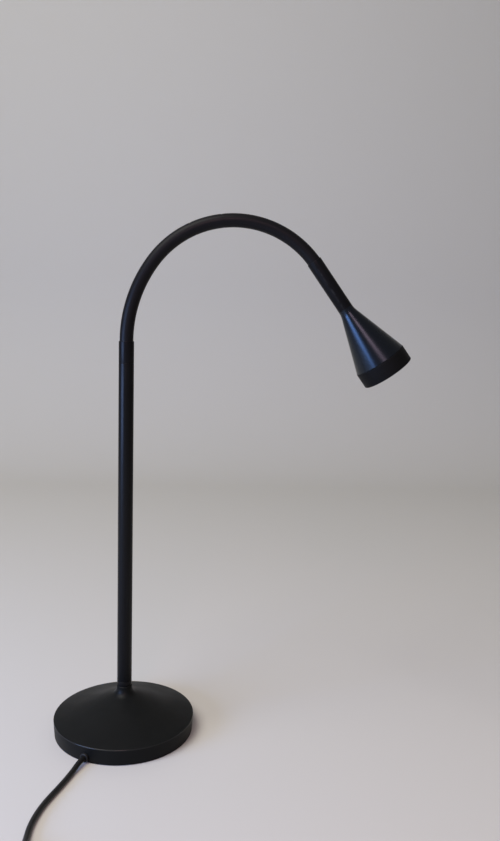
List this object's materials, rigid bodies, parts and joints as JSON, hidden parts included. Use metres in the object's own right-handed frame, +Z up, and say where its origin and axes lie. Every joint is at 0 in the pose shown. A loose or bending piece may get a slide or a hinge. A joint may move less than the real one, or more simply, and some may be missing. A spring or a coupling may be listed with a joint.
{
  "type": "desk lamp",
  "caption": "Small black desk lamp with a round weighted base, an upright stem, a bendable arm and a conical LED spot head, with its mains cord, in-line switch and plug.",
  "frame": {"origin": "centre of the flat underside of the base, on the axis of the stem", "axes": "+Z up along the stem, +X from the stem towards the lamp head, +Y square to the plane of the arm, away from the side that the cord leaves on"},
  "size_m": [0.3309, 0.4049, 0.4952],
  "materials": {
    "cover_black": "satin powder coat",
    "stem_black": "satin powder coat",
    "sleeve_black": "smooth satin PVC",
    "shade_black": "satin gloss",
    "ring_black": "matte moulded",
    "collar_black": "black anodised",
    "black_plastic": "matte moulded",
    "cord_black": "smooth PVC",
    "pad_rubber": "matte",
    "steel": "zinc plated",
    "core_steel": "bare spiral steel",
    "iron": "as cast",
    "brass": "plain",
    "board_green": "circuit board",
    "board_white": "circuit board",
    "led": "phosphor",
    "sink_aluminium": "machined",
    "reflector": "vacuum metallised",
    "lens": "clear",
    "case_white": "matte moulded"
  },
  "bodies": {
    "base": {"base_cover": "cover_black", "base_weight": "iron", "bottom_plate": "steel", "base_pad": "pad_rubber", "plate_screws": "steel", "cord_bushing": "black_plastic", "cord_clamp": "case_white", "clamp_screws": "steel", "driver_case": "case_white", "driver_lid": "case_white", "driver_board": "board_green", "driver_parts": "black_plastic", "mains_lead": "cord_black", "lamp_lead": "cord_black", "stem_tube": "stem_black", "stem_ring": "stem_black", "stem_nipple": "steel", "stem_nut": "steel", "stem_washer": "steel", "stem_collar": "collar_black", "collar_screw": "steel", "cord_to_switch": "cord_black", "cord_to_coil": "cord_black", "cord_coil": "cord_black", "switch_base": "black_plastic", "switch_cover": "black_plastic", "switch_contacts": "brass", "switch_screws": "steel", "plug_body": "black_plastic", "plug_pins": "brass", "arm_core_0": "core_steel", "arm_sleeve_1": "sleeve_black"},
    "head": {"arm_core_9": "core_steel", "arm_sleeve_9": "sleeve_black", "head_collar": "collar_black", "shade": "shade_black", "front_ring": "ring_black", "lens": "lens", "reflector": "reflector", "led_board": "board_white", "led_emitter": "led", "heat_sink": "sink_aluminium", "board_screws": "steel", "head_lead": "cord_black"},
    "rocker": {"rocker": "black_plastic"},
    "arm_1": {"arm_core_1": "core_steel", "arm_sleeve_2": "sleeve_black"},
    "arm_2": {"arm_core_2": "core_steel", "arm_sleeve_3": "sleeve_black"},
    "arm_3": {"arm_core_3": "core_steel", "arm_sleeve_4": "sleeve_black"},
    "arm_4": {"arm_core_4": "core_steel", "arm_sleeve_5": "sleeve_black"},
    "arm_5": {"arm_core_5": "core_steel", "arm_sleeve_6": "sleeve_black"},
    "arm_6": {"arm_core_6": "core_steel", "arm_sleeve_7": "sleeve_black"},
    "arm_7": {"arm_core_7": "core_steel", "arm_sleeve_8": "sleeve_black"},
    "arm_8": {"arm_core_8": "core_steel"}
  },
  "joints": [
    {"name": "arm_bend_1", "type": "hinge", "parent": "base", "child": "arm_1", "pos_m": [0.00078, 0, 0.39145], "axis": [0, 1, 0], "range_deg": [-12.81, 11.83], "deforming": ["arm_sleeve_1"]},
    {"name": "arm_bend_2", "type": "hinge", "parent": "arm_1", "child": "arm_2", "pos_m": [0.00697, 0, 0.41865], "axis": [0, 1, 0], "range_deg": [-12.81, 11.83], "deforming": ["arm_sleeve_2"]},
    {"name": "arm_bend_3", "type": "hinge", "parent": "arm_2", "child": "arm_3", "pos_m": [0.01903, 0, 0.4438], "axis": [0.8477, 0, -0.5304], "range_deg": [-20, 20], "deforming": ["arm_sleeve_3"]},
    {"name": "arm_bend_4", "type": "hinge", "parent": "arm_3", "child": "arm_4", "pos_m": [0.03677, 0, 0.46529], "axis": [0, 1, 0], "range_deg": [-17.41, 7.23], "deforming": ["arm_sleeve_4"]},
    {"name": "arm_bend_5", "type": "hinge", "parent": "arm_4", "child": "arm_5", "pos_m": [0.06005, 0, 0.48057], "axis": [0, 1, 0], "range_deg": [-17.41, 7.23], "deforming": ["arm_sleeve_5"]},
    {"name": "arm_bend_6", "type": "hinge", "parent": "arm_5", "child": "arm_6", "pos_m": [0.08684, 0, 0.48818], "axis": [0, 1, 0], "range_deg": [-17.41, 7.23], "deforming": ["arm_sleeve_6"]},
    {"name": "arm_bend_7", "type": "hinge", "parent": "arm_6", "child": "arm_7", "pos_m": [0.11468, 0, 0.48743], "axis": [-0.178, 0, -0.984], "range_deg": [-20, 20], "deforming": ["arm_sleeve_7"]},
    {"name": "arm_bend_8", "type": "hinge", "parent": "arm_7", "child": "arm_8", "pos_m": [0.14102, 0, 0.47838], "axis": [0, 1, 0], "range_deg": [-17.41, 7.23], "deforming": ["arm_sleeve_8"]},
    {"name": "arm_bend_9", "type": "hinge", "parent": "arm_8", "child": "head", "pos_m": [0.16344, 0, 0.46187], "axis": [0, 1, 0], "range_deg": [-17.41, 7.23], "deforming": ["arm_sleeve_9"]},
    {"name": "rocker_tilt", "type": "hinge", "parent": "base", "child": "rocker", "pos_m": [-0.04401, -0.23717, 0.012], "axis": [-0.9816, -0.1908, 0], "range_deg": [-16, 0]}
  ]
}
